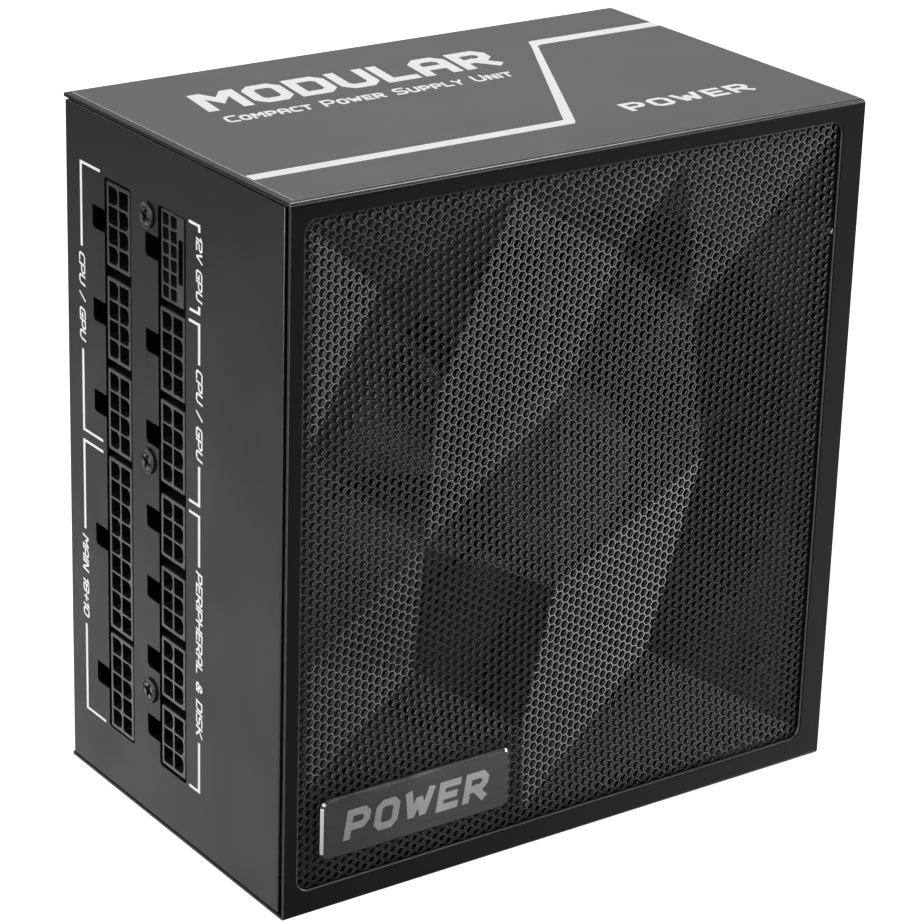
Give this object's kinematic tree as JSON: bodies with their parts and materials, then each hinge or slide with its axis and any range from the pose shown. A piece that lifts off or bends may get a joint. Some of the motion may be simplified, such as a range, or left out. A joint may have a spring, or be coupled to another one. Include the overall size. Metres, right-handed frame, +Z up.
{
  "type": "power supply unit",
  "caption": "Boxed computer power supply with modular cable sockets, a faceted perforated fan grille, mains inlet and rocker switch.",
  "frame": {"origin": "middle of the bottom side flap, on the surface the box stands on, as it stands in use for the view", "axes": "+Z up along the 150 mm length; +Y through the 86 mm thickness from the fan grille to the closed base; +X along the depth from the modular sockets to the mains inlet"},
  "size_m": [0.1422, 0.086, 0.1502],
  "materials": {
    "case_paint": "fine matt powder coat",
    "grille_paint": "satin powder coat on perforated sheet",
    "badge_metal": "dark anodised, bright chamfered edge",
    "label_print": "grey printed film with white line",
    "socket_plastic": "moulded black nylon",
    "screw_black": "black zinc plated",
    "fan_plastic": "moulded black plastic",
    "plate_paint": "dark grey paint",
    "steel": "ground",
    "copper": "enamelled copper",
    "brass": "turned",
    "magnet": "bonded magnet",
    "board_green": "solder mask",
    "insulating_film": "satin film",
    "aluminium": "extruded",
    "capacitor_sleeve": "shrink sleeve",
    "yellow_tape": "polyester tape",
    "wire_black": "insulated lead",
    "wire_brown": "insulated lead",
    "wire_blue": "insulated lead",
    "inlet_plastic": "moulded plastic",
    "rocker_plastic": "moulded plastic"
  },
  "bodies": {
    "case": {"badge": "badge_metal", "bridge_rectifier": "socket_plastic", "bulk_capacitor_1": "capacitor_sleeve", "bulk_capacitor_2": "capacitor_sleeve", "busbar_positive": "copper", "busbar_return": "copper", "cover": "case_paint", "cover_screw_1": "screw_black", "cover_screw_2": "screw_black", "cover_screw_3": "screw_black", "cover_screw_4": "screw_black", "fan_bearing": "brass", "fan_cable": "wire_black", "fan_frame": "fan_plastic", "fan_grille": "grille_paint", "fan_plate": "plate_paint", "fan_plug": "socket_plastic", "fan_screw_1": "screw_black", "fan_screw_2": "screw_black", "fan_screw_3": "screw_black", "fan_screw_4": "screw_black", "fan_stator": "copper", "inlet_lead_live": "wire_brown", "inlet_lead_neutral": "wire_blue", "insulating_sheet": "insulating_film", "line_choke": "copper", "main_board": "board_green", "mains_inlet": "inlet_plastic", "output_capacitor_1": "capacitor_sleeve", "output_capacitor_2": "capacitor_sleeve", "output_capacitor_3": "capacitor_sleeve", "panel_screw_1": "screw_black", "panel_screw_2": "screw_black", "panel_screw_3": "screw_black", "pfc_choke": "copper", "power_transistor": "socket_plastic", "primary_heat_sink": "aluminium", "secondary_heat_sink": "aluminium", "socket_10pin": "socket_plastic", "socket_12v_high_power": "socket_plastic", "socket_18pin": "socket_plastic", "socket_6pin_1": "socket_plastic", "socket_6pin_2": "socket_plastic", "socket_6pin_3": "socket_plastic", "socket_6pin_4": "socket_plastic", "socket_8pin_1": "socket_plastic", "socket_8pin_2": "socket_plastic", "socket_8pin_3": "socket_plastic", "socket_8pin_4": "socket_plastic", "socket_8pin_5": "socket_plastic", "socket_board": "board_green", "switch_bezel": "inlet_plastic", "top_label": "label_print", "transformer": "yellow_tape", "tray": "case_paint", "x_capacitor": "yellow_tape"},
    "fan_rotor_body": {"fan_rotor": "fan_plastic", "fan_shaft": "steel", "rotor_magnet": "magnet"},
    "rocker_body": {"power_rocker": "rocker_plastic"}
  },
  "joints": [
    {"name": "fan_spin", "type": "hinge", "parent": "case", "child": "fan_rotor_body", "pos_m": [0.003, -0.022, 0.076], "axis": [0, 1, 0], "continuous": true},
    {"name": "rocker_tilt", "type": "hinge", "parent": "case", "child": "rocker_body", "pos_m": [0.0664, 0.019, 0.06], "axis": [0, -1, 0], "range_deg": [0, 18]}
  ]
}
